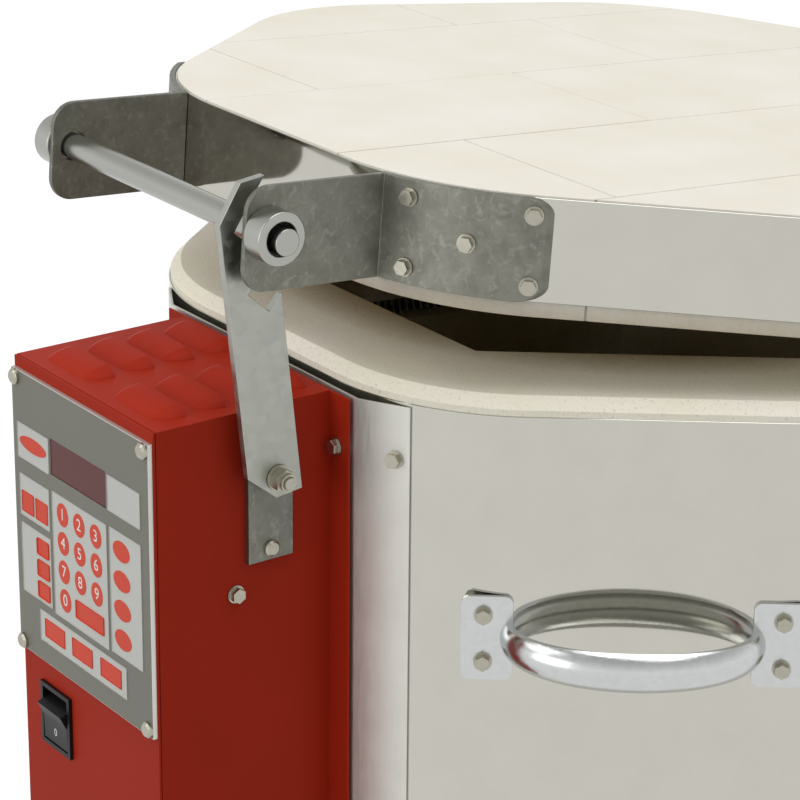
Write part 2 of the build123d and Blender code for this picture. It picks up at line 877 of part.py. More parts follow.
def handle_screws():
    reach = handle_span / 2 + handle_foot - handle_screw_inset
    face = -jacket_apothem - handle_sheet
    half = handle_screw_pitch / 2
    spots = [(side * reach - handle_shift, handle_z + dz) for side in (-1, 1) for dz in (-half, half)]
    return [hex_head((x, face, z), (0, -1, 0)) for x, z in spots]


handle_right = Rot(0, 0, turn) * handle()
nodes["body_handle_right"] = handle_right
nodes["body_handle_left"] = mirrored(handle_right)
screws_right = [Rot(0, 0, turn) * s for s in handle_screws()]
nodes["handle_screws"] = group(screws_right + [mirrored(s) for s in screws_right])


# Lid: cemented bricks in running bond inside a stainless band
def lid_bricks():
    slab = prism(brick_apothem, corner_radius, lid_seat_gap, lid_top)
    far = brick_apothem * 1.2
    bricks = []
    for row, shift in lid_seam_shifts.items():
        x0 = lid_row_start + row * brick_width if row > min(lid_seam_shifts) else -far
        x1 = lid_row_start + (row + 1) * brick_width if row < max(lid_seam_shifts) else far
        for number in range(-2, 3):
            y0 = (shift + number) * brick_length
            brick = slab & block((x0, x1), (y0, y0 + brick_length), (lid_seat_gap - 1, lid_top + 1))
            if brick:
                bricks.append(brick)
    return group(bricks)


nodes["lid_bricks"] = propped(lid_bricks())
nodes["lid_band"] = propped(shell(jacket_apothem, jacket_sheet, shell_corner, band_bottom, band_top))


def wrap(x0, x1, y_side, z0, z1):
    """Sheet following the rounded outline between two X limits, its far corners rounded."""
    radius = corner_radius + bracket_face - brick_apothem
    ring = shell(bracket_face, bracket_sheet, radius, z0, z1)
    front = Plane.XZ * Pos((x0 + x1) / 2, (z0 + z1) / 2) * Rectangle(x1 - x0, z1 - z0)
    front = fillet(front.vertices().group_by(Axis.X)[-1], plate_corner)
    return ring & extrude(front, amount=-y_side * bracket_face * 1.3)


def side_plate(x, points, rounding):
    """Upright plate in a Y-Z plane, its last two corners rounded."""
    face = Polygon(*points, align=None)
    face = fillet(face.vertices().sort_by(Axis.X)[:2], rounding) if rounding else face
    return extrude(Plane(origin=(x, 0, 0), x_dir=(0, 1, 0), z_dir=(1, 0, 0)) * face, amount=bracket_sheet)


def front_bracket():
    root_y = -bracket_back + bracket_root
    tip_y = -bracket_back - front_bracket_reach
    points = [(root_y, bracket_lift), (root_y, bracket_top), (tip_y, bracket_top), (tip_y, bracket_lift)]
    arm = side_plate(front_bracket_x, points, bracket_corner)
    arm -= prism(bracket_back, shell_corner + jacket_gap, bracket_lift - 1, bracket_top + 1)
    far_x = on_corner(front_bracket_wrap, bracket_face)[0][0]
    sheet = wrap(front_bracket_x, far_x, -1, bracket_lift, bracket_top)
    return arm + sheet - rod_along((1, 0, 0), rod_radius + 0.2, (front_bracket_x - 5, rod_y, rod_z), 15)


def bracket_screws():
    middle = bracket_lift + bracket_height / 2
    rise = bracket_screw_rise
    near, far = bracket_screw_angles
    places = [(near, rise), (near, -rise), ((near + far) / 2, 0.0), (far, rise), (far, -rise)]
    heads = []
    for angle, dz in places:
        (x, y), out = on_corner(angle, bracket_face)
        heads.append(hex_head((x, y, middle + dz), out))
    return heads


bracket_right = front_bracket()
nodes["front_bracket_right"] = propped(bracket_right)
nodes["front_bracket_left"] = propped(mirrored(bracket_right))
heads = bracket_screws()
nodes["bracket_screws"] = propped(group(heads + [mirrored(h) for h in heads]))

rod_half = front_bracket_x + bracket_sheet + rod_overhang
nodes["handle_rod"] = propped(rod_along((1, 0, 0), rod_radius, (-rod_half, rod_y, rod_z), 2 * rod_half))


def collar(x, y, z, outer, inner, length, countersink):
    """Collar pushed on a rod, its mouth countersunk."""
    plane = Plane(origin=(x, y, z), z_dir=(1, 0, 0))
    body = plane * extrude(Circle(outer) - Circle(inner), amount=length)
    mouth = Plane(origin=(x + length - countersink, y, z), z_dir=(1, 0, 0))
    from_mouth = (Align.CENTER, Align.CENTER, Align.MIN)
    return body - mouth * Cone(inner, inner + countersink, countersink, align=from_mouth)


rod_collar = collar(
    front_bracket_x + bracket_sheet, rod_y, rod_z, collar_radius, rod_radius + 0.1, collar_length, 1.8
)
nodes["rod_collars"] = propped(group([rod_collar, mirrored(rod_collar)]))


# Rear hinge: two arms on the lid band turn on a pin held by two ears on the jacket
def facet_y(x, apothem):
    """Depth of the rear flat beside the back corner at a given X."""
    return apothem / math.cos(half_turn) - x * math.tan(half_turn)


def hinge_arm():
    root_y = facet_y(hinge_arm_x, bracket_back) - hinge_root
    top = bracket_top
    points = [
        (root_y, bracket_lift),
        (hinge_y - 18.0, hinge_z - hinge_eye),
        (hinge_y, hinge_z - hinge_eye),
        (hinge_y + hinge_eye, hinge_z + 4.0),
        (root_y + 34.0, top),
        (root_y, top),
    ]
    face = Polygon(*points, align=None) + Pos(hinge_y, hinge_z) * Circle(hinge_eye)
    side_plane = Plane(origin=(hinge_arm_x, 0, 0), x_dir=(0, 1, 0), z_dir=(1, 0, 0))
    arm = extrude(side_plane * face, amount=bracket_sheet)
    arm -= prism(bracket_back, shell_corner + jacket_gap, hinge_z - hinge_eye, bracket_top + 1)
    arm += wrap(hinge_arm_x, hinge_arm_x + hinge_wrap, 1, bracket_lift, bracket_top)
    return arm - rod_along((1, 0, 0), pin_radius + pin_fit, (hinge_arm_x - 5, hinge_y, hinge_z), 15)


def hinge_ear():
    top = -jacket_drop - 5.0
    bottom = top - ear_height
    root_y = facet_y(ear_x, bracket_back) - hinge_root
    points = [
        (root_y, top),
        (root_y, bottom),
        (root_y + 26.0, bottom),
        (hinge_y + hinge_eye * 0.7, hinge_z - hinge_eye * 0.72),
        (hinge_y - hinge_eye, hinge_z),
        (hinge_y - hinge_eye - 26.0, top),
    ]
    face = Polygon(*points, align=None) + Pos(hinge_y, hinge_z) * Circle(hinge_eye)
    ear_plane = Plane(origin=(ear_x, 0, 0), x_dir=(0, 1, 0), z_dir=(1, 0, 0))
    ear = extrude(ear_plane * face, amount=bracket_sheet)
    ear -= prism(bracket_back, shell_corner + jacket_gap, bottom - 1, top + 1)
    ear += wrap(ear_x, ear_x + hinge_wrap, 1, bottom, top)
    return ear - rod_along((1, 0, 0), pin_radius + pin_fit, (ear_x - 5, hinge_y, hinge_z), 15)


def rear_heads(x, z0, z1):
    """Four screws through a wrapped rear sheet."""
    out = (math.sin(half_turn), math.cos(half_turn), 0)
    heads = []
    for dx in (bracket_sheet + hinge_screw_edge, hinge_wrap - hinge_screw_edge):
        for z in (z0 + hinge_screw_edge, z1 - hinge_screw_edge):
            heads.append(hex_head((x + dx, facet_y(x + dx, bracket_face), z), out))
    return heads


ear_top = -jacket_drop - 5.0
arm_right = hinge_arm()
ear_right = hinge_ear()
nodes["hinge_arm_right"] = propped(arm_right)
nodes["hinge_arm_left"] = propped(mirrored(arm_right))
nodes["hinge_ear_right"] = ear_right
nodes["hinge_ear_left"] = mirrored(ear_right)
lid_heads = rear_heads(hinge_arm_x, bracket_lift, bracket_top)
ear_heads = rear_heads(ear_x, ear_top - ear_height, ear_top)
nodes["hinge_arm_screws"] = propped(group(lid_heads + [mirrored(h) for h in lid_heads]))
nodes["hinge_ear_screws"] = group(ear_heads + [mirrored(h) for h in ear_heads])
pin_half = hinge_arm_x + bracket_sheet + pin_overhang
nodes["hinge_pin"] = rod_along((1, 0, 0), pin_radius, (-pin_half, hinge_y, hinge_z), 2 * pin_half)
pin_collar = collar(
    hinge_arm_x + bracket_sheet + running_gap, hinge_y, hinge_z,
    pin_collar_radius, pin_radius + pin_fit, pin_collar_length, 1.5,
)
nodes["pin_collars"] = group([pin_collar, mirrored(pin_collar)])

# The origin goes to the middle of the footprint at floor level
everything = Compound(list(nodes.values()))
bounds = everything.bounding_box()
shift = Vector(-(bounds.min.X + bounds.max.X) / 2, -(bounds.min.Y + bounds.max.Y) / 2, -bounds.min.Z)

os.makedirs("parts", exist_ok=True)
for name, shape in nodes.items():
    export_step(Pos(shift) * shape, f"parts/{name}.step")

size = bounds.size
print(f"{len(nodes)} nodes, {size.X:.1f} x {size.Y:.1f} x {size.Z:.1f} mm, shift {shift}")
print(f"lid hinge at Y {hinge_y + shift.Y:.2f}, Z {hinge_z + shift.Z:.2f}")
print(f"prop pivot at Y {pivot_y + shift.Y:.2f}, Z {pivot_z + shift.Z:.2f}")
rocker_y = -box_front + rocker_depth
print(f"rocker pivot at X {switch_x:.2f}, Y {rocker_y + shift.Y:.2f}, Z {switch_z + shift.Z:.2f}")
print(f"gland bore at X {gland_x:.2f}, Y {gland_y + shift.Y:.2f}, Z {box_bottom + shift.Z:.2f}")
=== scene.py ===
import json
import math

import bpy
from mathutils import Matrix, Vector


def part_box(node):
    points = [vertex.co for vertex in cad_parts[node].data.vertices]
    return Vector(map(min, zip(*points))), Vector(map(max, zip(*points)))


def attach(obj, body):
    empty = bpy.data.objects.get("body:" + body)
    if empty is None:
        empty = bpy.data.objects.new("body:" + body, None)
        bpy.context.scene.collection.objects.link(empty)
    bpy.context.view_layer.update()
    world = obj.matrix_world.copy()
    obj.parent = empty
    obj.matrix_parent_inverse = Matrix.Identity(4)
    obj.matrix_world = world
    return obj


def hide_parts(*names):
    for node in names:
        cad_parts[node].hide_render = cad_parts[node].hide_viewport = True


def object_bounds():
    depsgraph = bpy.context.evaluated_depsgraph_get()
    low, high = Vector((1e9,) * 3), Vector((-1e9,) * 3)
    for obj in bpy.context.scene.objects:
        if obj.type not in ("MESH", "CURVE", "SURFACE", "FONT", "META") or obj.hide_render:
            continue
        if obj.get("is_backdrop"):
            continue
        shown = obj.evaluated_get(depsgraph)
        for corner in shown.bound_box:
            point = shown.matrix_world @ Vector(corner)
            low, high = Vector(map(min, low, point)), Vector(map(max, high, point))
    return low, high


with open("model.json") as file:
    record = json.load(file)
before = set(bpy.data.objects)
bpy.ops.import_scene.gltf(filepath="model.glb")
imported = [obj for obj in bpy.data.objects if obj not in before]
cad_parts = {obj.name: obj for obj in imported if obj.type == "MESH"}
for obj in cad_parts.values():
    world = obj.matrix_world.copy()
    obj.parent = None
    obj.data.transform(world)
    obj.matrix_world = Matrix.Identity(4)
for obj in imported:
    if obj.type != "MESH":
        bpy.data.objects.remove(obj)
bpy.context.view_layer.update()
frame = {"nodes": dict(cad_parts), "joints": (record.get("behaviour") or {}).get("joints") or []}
print("frame loaded")

# Real sizes of the kiln, in millimetres
mm = 0.001
kiln = {
    "sides": 7,
    "brickLength": 228.6,
    "wall": 63.5,
    "cornerRadius": 117.0,
    "jacketGap": 0.1,
    "jacketSheet": 0.8,
    "lidPropAngle": 4.3,
}
# Points this near are one, in metres, and faces that differ less than this are flat, in degrees
weld = {"merge": 0.00001, "close": 0.000005, "flat": 0.8}
halfTurn = math.pi / kiln["sides"]
brickApothem = kiln["brickLength"] / 2 / math.tan(halfTurn)
chamberApothem = brickApothem - kiln["wall"]
jacketApothem = brickApothem + kiln["jacketGap"] + kiln["jacketSheet"]
wallLow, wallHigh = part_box("course_top")
kilnAxis = Vector((0, wallLow.y + brickApothem * mm, wallHigh.z))  # chamber axis, top of the wall
hinge = next(joint for joint in frame["joints"] if joint["name"] == "lid_hinge")
hingePoint = Vector(hinge["pos_m"])


# Millimetres round the chamber axis, turned to metres in the frame
def at(x, y, z):
    return kilnAxis + Vector((x, y, z)) * mm


# Where a CAD node lies, in the same millimetres
def nodeBox(node):
    low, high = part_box(node)
    return (low - kilnAxis) / mm, (high - kilnAxis) / mm


def makeActive(piece):
    bpy.ops.object.select_all(action="DESELECT")
    piece.select_set(True)
    bpy.context.view_layer.objects.active = piece


# The place of a piece goes into its mesh
def settle(piece):
    makeActive(piece)
    bpy.ops.object.transform_apply(location=True, rotation=True, scale=True)
    return piece


def applyModifier(piece, kind, **settings):
    makeActive(piece)
    modifier = piece.modifiers.new(kind, kind)
    for key, value in settings.items():
        setattr(modifier, key, value)
    bpy.ops.object.modifier_apply(modifier=modifier.name)


def roundEdges(piece, width, segments=2, angle=30):
    applyModifier(piece, "BEVEL", width=width * mm, segments=segments, limit_method="ANGLE",
                  angle_limit=math.radians(angle), use_clamp_overlap=True)


# Smooth sides, sharp folds, and broad faces kept flat beside their rounded edges
def smooth(piece, angle=35):
    makeActive(piece)
    bpy.ops.object.shade_smooth_by_angle(angle=math.radians(angle))
    applyModifier(piece, "WEIGHTED_NORMAL", keep_sharp=True)


def joinPieces(pieces, name):
    bpy.ops.object.select_all(action="DESELECT")
    for piece in pieces:
        piece.select_set(True)
    bpy.context.view_layer.objects.active = pieces[0]
    if len(pieces) > 1:
        bpy.ops.object.join()
    pieces[0].name = name
    return pieces[0]


def copyPiece(piece, matrix=Matrix.Identity(4)):
    twin = bpy.data.objects.new("copy", piece.data.copy())
    bpy.context.scene.collection.objects.link(twin)
    twin.data.transform(matrix)
    return twin


def turnFacesOut(piece):
    makeActive(piece)
    bpy.ops.object.mode_set(mode="EDIT")
    bpy.ops.mesh.select_all(action="SELECT")
    bpy.ops.mesh.remove_doubles(threshold=weld["close"])
    bpy.ops.mesh.normals_make_consistent(inside=False)
    bpy.ops.object.mode_set(mode="OBJECT")


# Edit mode with only the wanted vertices picked
def pick(piece, wanted):
    makeActive(piece)
    bpy.ops.object.mode_set(mode="EDIT")
    bpy.ops.mesh.select_mode(type="VERT")
    bpy.ops.mesh.select_all(action="DESELECT")
    bpy.ops.object.mode_set(mode="OBJECT")
    for vertex in piece.data.vertices:
        vertex.select = wanted(vertex.co)
    bpy.ops.object.mode_set(mode="EDIT")


# Box between two corners in millimetres
def block(name, low, high):
    low, high = at(*low), at(*high)
    bpy.ops.mesh.primitive_cube_add(size=1, location=(low + high) / 2)
    piece = bpy.context.active_object
    piece.name = name
    piece.scale = [abs(b - a) for a, b in zip(low, high)]
    return settle(piece)


# Round bar between two points in millimetres
def bar(name, start, end, radius, sides, edge=0.0):
    start, end = at(*start), at(*end)
    run = end - start
    bpy.ops.mesh.primitive_cylinder_add(vertices=sides, radius=radius * mm, depth=run.length)
    piece = bpy.context.active_object
    piece.name = name
    piece.rotation_euler = run.to_track_quat("Z", "Y").to_euler()
    piece.location = (start + end) / 2
    settle(piece)
    if edge:
        roundEdges(piece, edge, 3)
    return piece


# Lid pieces are made closed, then turned to where the arm holds the lid
def prop(piece):
    turn = Matrix.Rotation(math.radians(-kiln["lidPropAngle"]), 4, "X")
    piece.data.transform(Matrix.Translation(hingePoint) @ turn @ Matrix.Translation(-hingePoint))
    return piece


# A CAD node's own shape with merged faces and softened edges
def dress(name, node, edge, angle=30):
    piece = bpy.data.objects.new(name, frame["nodes"][node].data.copy())
    bpy.context.scene.collection.objects.link(piece)
    makeActive(piece)
    bpy.ops.mesh.customdata_custom_splitnormals_clear()
    bpy.ops.object.mode_set(mode="EDIT")
    bpy.ops.mesh.select_all(action="SELECT")
    bpy.ops.mesh.remove_doubles(threshold=weld["merge"])
    bpy.ops.mesh.dissolve_limited(angle_limit=math.radians(weld["flat"]))
    bpy.ops.object.mode_set(mode="OBJECT")
    if edge:
        roundEdges(piece, edge, angle=angle)
    smooth(piece)
    return piece


# Material and body of a finished piece, and the nodes it stands for
def seat(piece, body, material, slot, *nodes):
    piece.data.materials.clear()
    piece.data.materials.append(material)
    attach(piece, body)
    if nodes:
        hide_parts(*nodes)


# sRGB hex to linear colour
def linear(hexColour):
    values = [int(hexColour[k:k + 2], 16) / 255 for k in (1, 3, 5)]
    return [v / 12.92 if v <= 0.04045 else ((v + 0.055) / 1.055) ** 2.4 for v in values] + [1.0]


# Adds a node with its settings and links
def addNode(tree, kind, settings=None, links=None):
    node = tree.nodes.new(kind)
    for key, value in (settings or {}).items():
        if isinstance(key, str) and hasattr(node, key):
            setattr(node, key, value)
        else:
            node.inputs[key].default_value = value
    for socket, source in (links or {}).items():
        tree.links.new(source, node.inputs[socket])
    return node


# A new material with its shader, and object coordinates centred on the kiln
def startMaterial(name, colour, roughness, metallic=0.0, **sockets):
    material = bpy.data.materials.new(name)
    material.use_nodes = True
    tree = material.node_tree
    shader = tree.nodes["Principled BSDF"]
    shader.inputs["Base Color"].default_value = linear(colour)
    shader.inputs["Roughness"].default_value = roughness
    shader.inputs["Metallic"].default_value = metallic
    for key, value in sockets.items():
        shader.inputs[key.replace("_", " ")].default_value = value
    coordinates = addNode(tree, "ShaderNodeTexCoord")
    centred = addNode(tree, "ShaderNodeMapping", {"Location": -kilnAxis, "vector_type": "POINT"},
                      {"Vector": coordinates.outputs["Object"]})
    return material, tree, shader, centred.outputs["Vector"]


# Scale of a texture whose grain has this size in millimetres
def grain(size):
    return 1.0 / (size * mm)


# Insulating firebrick, sawn: pale, matt and full of small pores; heat has browned it where stain says
browning = {"stain": "#A8925C", "pores": "#9A7A3C"}


def makeFirebrick(name, stain):
    material, tree, shader, place = startMaterial(name, stain["pale"], 0.92, Specular_IOR_Level=0.2)
    blotch = addNode(tree, "ShaderNodeTexNoise", {"Scale": grain(60), "Detail": 3.0}, {"Vector": place})
    shades = addNode(tree, "ShaderNodeMapRange", {"From Min": 0.3, "From Max": 0.7},
                     {"Value": blotch.outputs["Fac"]})
    base = addNode(tree, "ShaderNodeMix",
                   {"data_type": "RGBA", "A": linear(stain["pale"]), "B": linear(stain["paler"])},
                   {"Factor": shades.outputs["Result"]})
    # the heat stain grows with this distance: inwards from the rim's edge, or down to the lid's underside
    lean = addNode(tree, "ShaderNodeVectorMath", {"operation": "MULTIPLY", 1: stain["across"]}, {0: place})
    reach = addNode(tree, "ShaderNodeVectorMath", {"operation": "LENGTH"}, {0: lean.outputs["Vector"]})
    height = addNode(tree, "ShaderNodeVectorMath", {"operation": "DOT_PRODUCT", 1: stain["up"]}, {0: place})
    travel = addNode(tree, "ShaderNodeMath", {"operation": "ADD"},
                     {0: reach.outputs["Value"], 1: height.outputs["Value"]})
    ragged = addNode(tree, "ShaderNodeTexNoise", {"Scale": grain(9), "Detail": 5.0, "Roughness": 0.7},
                     {"Vector": place})
    edge = addNode(tree, "ShaderNodeMath", {"operation": "MULTIPLY_ADD", 1: stain["ragged"] * mm},
                   {0: ragged.outputs["Fac"], 2: travel.outputs["Value"]})
    span = {"From Min": stain["start"] * mm, "From Max": stain["full"] * mm, "To Max": stain["most"]}
    heat = addNode(tree, "ShaderNodeMapRange", span, {"Value": edge.outputs["Value"]})
    browned = addNode(tree, "ShaderNodeMix", {"data_type": "RGBA", "B": linear(browning["stain"])},
                      {"Factor": heat.outputs["Result"], "A": base.outputs["Result"]})
    pores = addNode(tree, "ShaderNodeTexNoise", {"Scale": grain(1.3), "Detail": 3.0, "Roughness": 0.65},
                    {"Vector": place})
    specks = addNode(tree, "ShaderNodeMapRange",
                     {"From Min": 0.57, "From Max": 0.74, "To Max": stain["specks"]},
                     {"Value": pores.outputs["Fac"]})
    hotter = addNode(tree, "ShaderNodeMath", {"operation": "ADD", 1: 0.5}, {0: heat.outputs["Result"]})
    spots = addNode(tree, "ShaderNodeMath", {"operation": "MULTIPLY"},
                    {0: specks.outputs["Result"], 1: hotter.outputs["Value"]})
    mixed = addNode(tree, "ShaderNodeMix", {"data_type": "RGBA", "B": linear(browning["pores"])},
                    {"Factor": spots.outputs["Value"], "A": browned.outputs["Result"]})
    tree.links.new(mixed.outputs["Result"], shader.inputs["Base Color"])
    grit = addNode(tree, "ShaderNodeTexNoise", {"Scale": grain(0.9), "Detail": 5.0, "Roughness": 0.75},
                   {"Vector": place})
    bump = addNode(tree, "ShaderNodeBump", {"Strength": 0.5, "Distance": 0.6 * mm},
                   {"Height": grit.outputs["Fac"]})
    tree.links.new(bump.outputs["Normal"], shader.inputs["Normal"])
    return material


# Sheet metal: fine directional grain, slow waves that bend what it mirrors, and stains
def makeSheetMetal(name, colour, dark, roughness, wave, scratch, mottle=30.0, scuffs=0.0):
    material, tree, shader, place = startMaterial(name, colour, roughness, 1.0)
    cloud = addNode(tree, "ShaderNodeTexNoise", {"Scale": grain(mottle), "Detail": 5.0, "Roughness": 0.6},
                    {"Vector": place})
    tint = addNode(tree, "ShaderNodeMapRange", {"From Min": 0.38, "From Max": 0.66},
                   {"Value": cloud.outputs["Fac"]})
    colours = addNode(tree, "ShaderNodeMix", {"data_type": "RGBA", "A": linear(colour), "B": linear(dark)},
                      {"Factor": tint.outputs["Result"]})
    nicks = addNode(tree, "ShaderNodeTexNoise", {"Scale": grain(5.0), "Detail": 6.0, "Distortion": 1.2},
                    {"Vector": place})
    marks = addNode(tree, "ShaderNodeMapRange", {"From Min": 0.54, "From Max": 0.68, "To Max": scuffs},
                    {"Value": nicks.outputs["Fac"]})
    scuffed = addNode(tree, "ShaderNodeMix", {"data_type": "RGBA", "B": linear("#C9C9BF")},
                      {"Factor": marks.outputs["Result"], "A": colours.outputs["Result"]})
    tree.links.new(scuffed.outputs["Result"], shader.inputs["Base Color"])
    stretched = addNode(tree, "ShaderNodeMapping", {"Scale": (1.0, 1.0, 0.06)}, {"Vector": place})
    lines = addNode(tree, "ShaderNodeTexNoise", {"Scale": grain(0.8), "Detail": 4.0},
                    {"Vector": stretched.outputs["Vector"]})
    rough = addNode(tree, "ShaderNodeMapRange", {"To Min": roughness * 0.75, "To Max": roughness * 1.3},
                    {"Value": lines.outputs["Fac"]})
    tree.links.new(rough.outputs["Result"], shader.inputs["Roughness"])
    slow = addNode(tree, "ShaderNodeTexNoise", {"Scale": grain(70), "Detail": 1.0}, {"Vector": place})
    waves = addNode(tree, "ShaderNodeBump", {"Strength": 1.0, "Distance": wave * mm},
                    {"Height": slow.outputs["Fac"]})
    fine = addNode(tree, "ShaderNodeBump", {"Strength": 1.0, "Distance": scratch * mm},
                   {"Height": lines.outputs["Fac"], "Normal": waves.outputs["Normal"]})
    tree.links.new(fine.outputs["Normal"], shader.inputs["Normal"])
    return material


# Zinc plate: crystal spangle over bright steel
def makeZinc(name, colour, dark, roughness, spangle):
    material, tree, shader, place = startMaterial(name, colour, roughness, 1.0)
    cells = addNode(tree, "ShaderNodeTexVoronoi", {"Scale": grain(spangle)}, {"Vector": place})
    tone = addNode(tree, "ShaderNodeSeparateColor", links={"Color": cells.outputs["Color"]})
    colours = addNode(tree, "ShaderNodeMix", {"data_type": "RGBA", "A": linear(colour), "B": linear(dark)},
                      {"Factor": tone.outputs["Red"]})
    tree.links.new(colours.outputs["Result"], shader.inputs["Base Color"])
    rough = addNode(tree, "ShaderNodeMapRange", {"To Min": roughness * 0.85, "To Max": roughness * 1.2},
                    {"Value": tone.outputs["Green"]})
    tree.links.new(rough.outputs["Result"], shader.inputs["Roughness"])
    return material


# Powder coat, paint, cement, plastic, film or turned steel: one even colour with a fine skin
def makeCoating(name, colour, roughness, skin, depth, **sockets):
    material, tree, shader, place = startMaterial(name, colour, roughness, **sockets)
    tone = addNode(tree, "ShaderNodeTexNoise", {"Scale": grain(60), "Detail": 2.0}, {"Vector": place})
    shade = addNode(tree, "ShaderNodeMapRange", {"To Min": 0.94, "To Max": 1.06},
                    {"Value": tone.outputs["Fac"]})
    colours = addNode(tree, "ShaderNodeHueSaturation", {"Color": linear(colour)},
                      {"Value": shade.outputs["Result"]})
    tree.links.new(colours.outputs["Color"], shader.inputs["Base Color"])
    peel = addNode(tree, "ShaderNodeTexNoise", {"Scale": grain(skin), "Detail": 2.0}, {"Vector": place})
    bump = addNode(tree, "ShaderNodeBump", {"Strength": 0.6, "Distance": depth * mm},
                   {"Height": peel.outputs["Fac"]})
    tree.links.new(bump.outputs["Normal"], shader.inputs["Normal"])
    return material


# Heat stains: on the walls from the chamber out, on the lid from its underside up. The walls' pale colours
# are painted lighter than the brick itself, as painted light on the rim that the lid shades
leaning = math.radians(kiln["lidPropAngle"])
wallStainAndPaintedLight = {"across": (1, 1, 0), "up": (0, 0, 0), "start": 209, "full": 180, "ragged": 10, "most": 0.8,
             "specks": 0.8, "pale": "#FAF5DF", "paler": "#FFFAEC"}
lidStain = {"across": (0, 0, 0), "up": (0, math.sin(leaning), math.cos(leaning)), "start": 41, "full": 30,
            "ragged": 10, "most": 0.45, "specks": 0.12, "pale": "#E3DECF", "paler": "#E9E5DC"}

finishes = {
    "lidBrick": makeFirebrick("insulatingFirebrick", lidStain),
    "firedBrick": makeFirebrick("firedFirebrick", wallStainAndPaintedLight),
    "mortar": makeCoating("refractoryCement", "#A29D90", 0.95, 1.2, 0.2),
    "stainless": makeSheetMetal("polishedStainless", "#C6C4BB", "#C3C1B8", 0.06, 0.5, 0.002),
    "plateSteel": makeSheetMetal("brushedPlate", "#D8D8D2", "#D2D2CC", 0.55, 0.1, 0.006),
    "millSteel": makeSheetMetal("hotRolledSteel", "#83837A", "#75756C", 0.45, 0.1, 0.008, 9.0, 0.16),
    "galvanised": makeZinc("galvanisedSteel", "#AEB0A8", "#AAACA4", 0.38, 4.0),
    "brightZinc": makeZinc("brightZincPlate", "#CDCFCE", "#C8CBCA", 0.22, 3.0),
    "screwZinc": makeZinc("screwZincPlate", "#B3B0A2", "#ADAA9C", 0.32, 3.0),
    "turnedSteel": makeCoating("turnedSteel", "#ABACA5", 0.27, 6.0, 0.01, metallic=1.0),
    "redCoat": makeCoating("redPowderCoat", "#A42A16", 0.5, 0.7, 0.03, Specular_IOR_Level=0.08),
    "overlayGrey": makeCoating("overlayFilmGrey", "#76756B", 0.5, 0.6, 0.01),
    "overlayPale": makeCoating("overlayFilmPale", "#CACBC5", 0.5, 0.6, 0.01),
    "keyRed": makeCoating("overlayKeyRed", "#D8452A", 0.45, 0.6, 0.01, Specular_IOR_Level=0.3),
    "keyPrint": makeCoating("overlayPrintWhite", "#EFEFEA", 0.5, 0.6, 0.01),
    "display": makeCoating("smokedRedAcrylic", "#5E201C", 0.14, 8.0, 0.01, Specular_IOR_Level=0.25),
    "blackPlastic": makeCoating("blackNylon", "#131314", 0.4, 0.5, 0.015, Specular_IOR_Level=0.25),
    "blackPaint": makeCoating("blackStandPaint", "#1C1C1D", 0.45, 0.8, 0.03),
    "wire": makeCoating("oxidisedElementWire", "#4A3B30", 0.6, 0.6, 0.05),
    "brass": makeZinc("brassTerminal", "#B8965A", "#A5844B", 0.3, 3.0),
    "board": makeCoating("circuitBoardGreen", "#1F5A34", 0.4, 3.0, 0.02),
    "natural": makeCoating("naturalNylon", "#DEDDD4", 0.5, 1.0, 0.02),
    "core": makeCoating("varnishedLaminations", "#4A4A4D", 0.45, 1.0, 0.05),
    "sheath": makeCoating("sinteredSheath", "#E9E6DC", 0.6, 0.8, 0.05),
}
print("materials made")

# Rounded seven-sided outline: a round tube whose seven sectors move out to the corners
shellCorner = {"points": 24, "still": 1.001}


def sevenSided(name, apothem, bottom, top, ends):
    points = shellCorner["points"] * kiln["sides"]
    radius = kiln["cornerRadius"] + apothem - brickApothem
    bpy.ops.mesh.primitive_cylinder_add(
        vertices=points, radius=radius * mm, depth=(top - bottom) * mm, end_fill_type=ends,
        location=at(0, 0, (top + bottom) / 2), rotation=(0, 0, math.pi / points))
    piece = settle(bpy.context.active_object)
    piece.name = name
    reach = (apothem - radius) / math.cos(halfTurn) * mm
    for corner in range(kiln["sides"]):
        out = Matrix.Rotation(2 * halfTurn * corner, 3, "Z") @ Vector((0, 1, 0))
        # the sector's points, those that haven't moved out yet
        def inSector(place):
            flat = (place - kilnAxis) * Vector((1, 1, 0))
            return flat.length < radius * mm * shellCorner["still"] and flat.angle(out) < halfTurn

        pick(piece, inSector)
        bpy.ops.transform.translate(value=out * reach)
        bpy.ops.object.mode_set(mode="OBJECT")
    return piece


# Polished sheet: the jacket round the brick walls and the band round the lid
sheet = {"edge": 0.2, "bandTop": 56.8, "bandHeight": 49.0}


def wrapShell(name, bottom, top):
    piece = sevenSided(name, jacketApothem, bottom, top, "NOTHING")
    applyModifier(piece, "SOLIDIFY", thickness=kiln["jacketSheet"] * mm, offset=-1)
    roundEdges(piece, sheet["edge"], 1, 60)
    smooth(piece, 20)
    return piece


# Cuts away what lies beyond a plane and closes the cut where asked
def trim(piece, point, normal, close=True):
    makeActive(piece)
    bpy.ops.object.mode_set(mode="EDIT")
    bpy.ops.mesh.select_all(action="SELECT")
    bpy.ops.mesh.bisect(plane_co=point, plane_no=normal, use_fill=close, clear_outer=True)
    bpy.ops.object.mode_set(mode="OBJECT")


def makeJacket():
    low, high = nodeBox("jacket")
    piece = wrapShell("jacketSheet", low.z, high.z)
    seat(piece, "body", finishes["stainless"], "stainless", "jacket")


def makeLidBand():
    piece = wrapShell("lidBandSheet", sheet["bandTop"] - sheet["bandHeight"], sheet["bandTop"])
    seat(prop(piece), "lid", finishes["stainless"], "stainless", "lid_band")


makeJacket()
makeLidBand()
print("sheet metal made")

